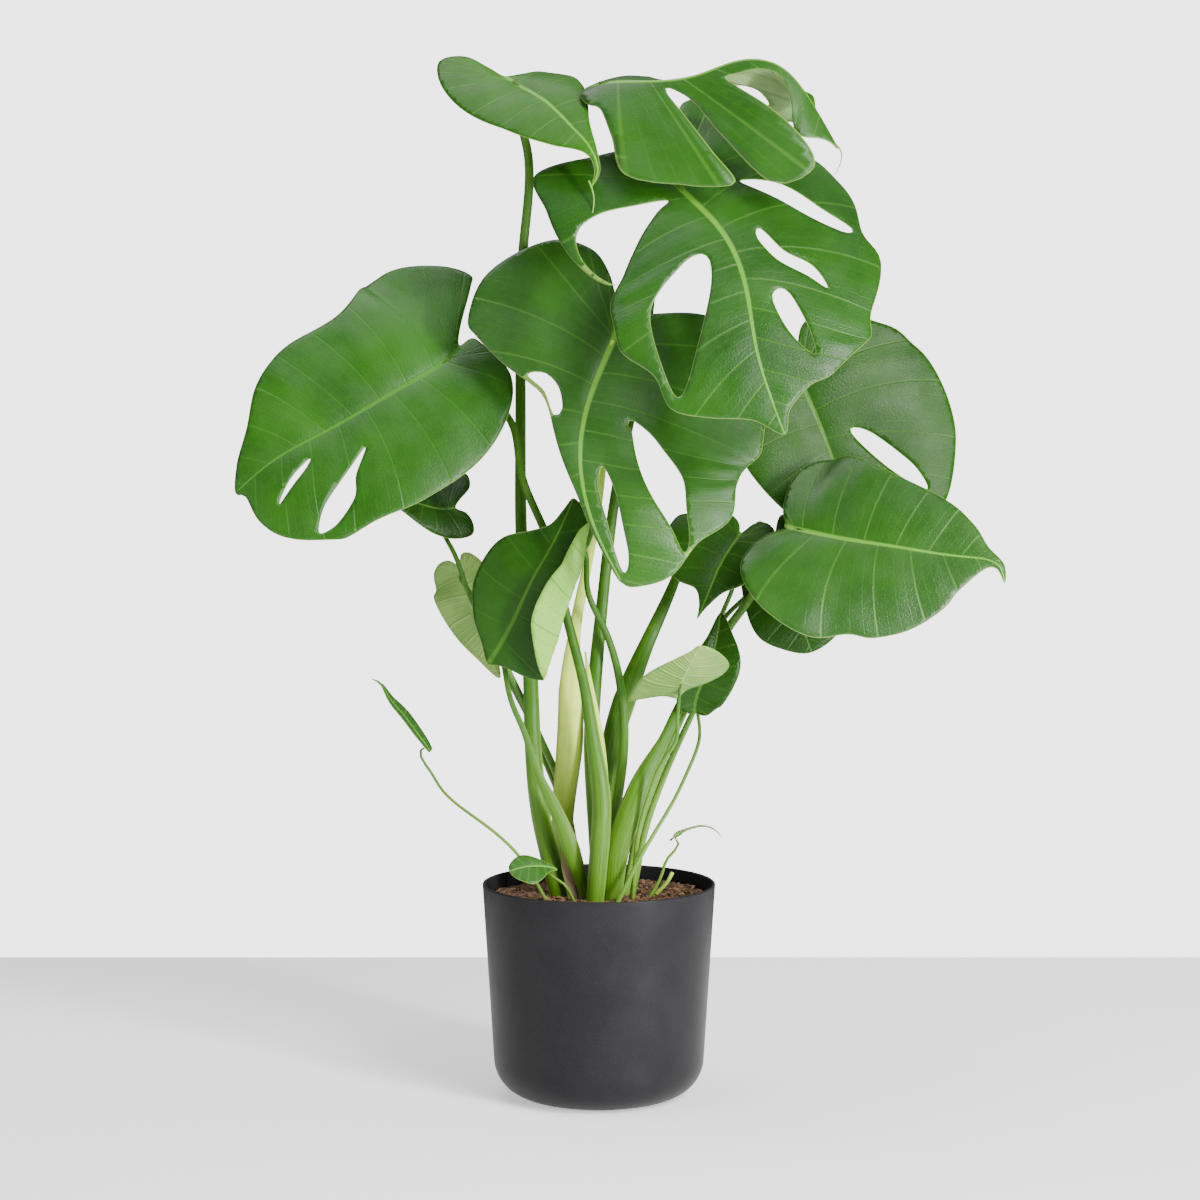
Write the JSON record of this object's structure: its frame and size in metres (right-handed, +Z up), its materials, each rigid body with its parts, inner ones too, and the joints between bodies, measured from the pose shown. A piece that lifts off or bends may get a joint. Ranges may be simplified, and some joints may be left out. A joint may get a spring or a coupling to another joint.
{
  "type": "potted monstera plant",
  "caption": "Split-leaf monstera houseplant with long curved leaf stalks rising from fibrous soil in a plain round tapered pot with softly rounded foot.",
  "frame": {"origin": "centre of the pot's flat foot, on the surface it stands on", "axes": "+Z up along the pot's axis, -Y the front that faces the viewer, +X to the viewer's right"},
  "size_m": [0.6054, 0.2446, 0.847],
  "materials": {
    "pot": "satin dark grey, fine grain",
    "soil": "loose brown coir fibre and chips, matt",
    "leaf": "glossy mid-green leaf with paler veins",
    "dark_leaf": "glossy dark-green leaf with paler veins",
    "pale_leaf": "matt pale-green leaf, underside outward or young",
    "stem": "smooth satin green leaf stalk",
    "sheath": "smooth pale yellow-green sheath",
    "dry_bract": "dry papery pink-brown"
  },
  "bodies": {
    "root": {"pot": "pot", "soil": "soil", "leaf_left": "leaf", "leaf_centre": "leaf", "leaf_front": "leaf", "leaf_top": "leaf", "leaf_top_left": "leaf", "leaf_right": "leaf", "leaf_rolled": "leaf", "leaf_tiny_left": "leaf", "leaf_tiny_rim": "leaf", "leaf_back": "dark_leaf", "leaf_under_left": "dark_leaf", "leaf_mid_right": "dark_leaf", "leaf_dark_right": "dark_leaf", "leaf_low_right": "dark_leaf", "leaf_pale_left": "pale_leaf", "leaf_pale_right": "pale_leaf", "leaf_young": "pale_leaf", "leaf_tiny_right": "pale_leaf", "stem_top_left": "stem", "stem_left": "stem", "stem_front": "stem", "stem_back": "stem", "stem_right": "stem", "stem_under_left": "stem", "stem_rolled": "stem", "stem_pale_left": "stem", "stem_young": "stem", "stem_mid_right": "stem", "stem_dark_right": "stem", "stem_low_right": "stem", "stem_pale_right": "stem", "stem_tiny_left": "stem", "stem_tiny_rim": "stem", "stem_tiny_right": "stem", "stem_top": "stem", "stem_centre": "sheath", "bract_tall": "sheath", "stub": "sheath", "bract_short": "dry_bract"}
  },
  "joints": []
}
